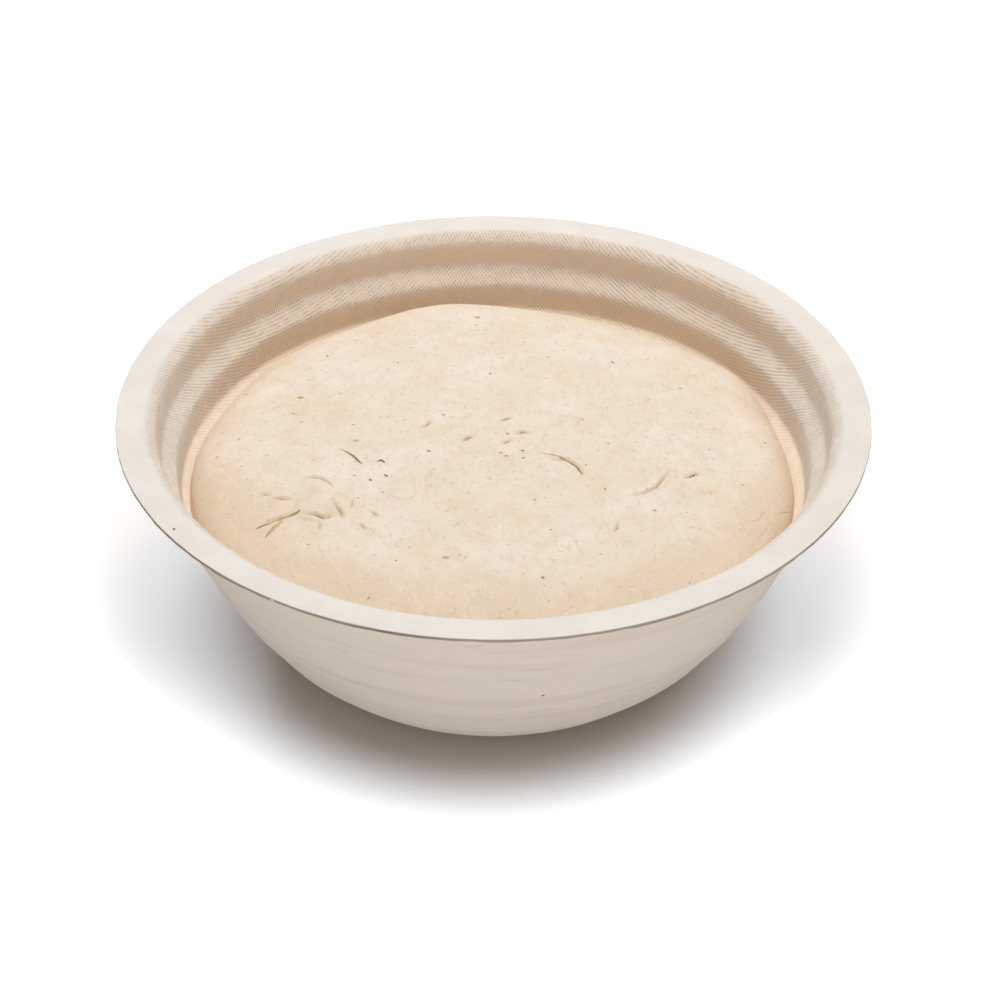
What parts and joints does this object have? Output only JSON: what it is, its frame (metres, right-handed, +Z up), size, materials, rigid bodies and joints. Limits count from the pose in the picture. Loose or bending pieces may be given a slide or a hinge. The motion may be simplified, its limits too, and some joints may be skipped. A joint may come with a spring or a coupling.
{
  "type": "round proofing basket",
  "caption": "Round moulded-pulp proofing basket with a level rim, a ringed wall and a flat base, holding a risen loaf of dough that lifts out.",
  "frame": {"origin": "centre of the flat base, on the table", "axes": "+Z up along the axis of the bowl; the picture looks along +Y, with +X to the right"},
  "size_m": [0.245, 0.245, 0.086],
  "materials": {
    "pulp": "matt unbleached wood pulp, pressed smooth outside, screen-marked inside",
    "dough": "soft satin raw dough with bran flecks"
  },
  "bodies": {
    "basket": {"basket_shell": "pulp"},
    "dough": {"dough_loaf": "dough"}
  },
  "joints": [
    {"name": "dough_lift", "type": "slide", "parent": "basket", "child": "dough", "axis": [0, 0, 1], "range_m": [0, 0.1]}
  ]
}
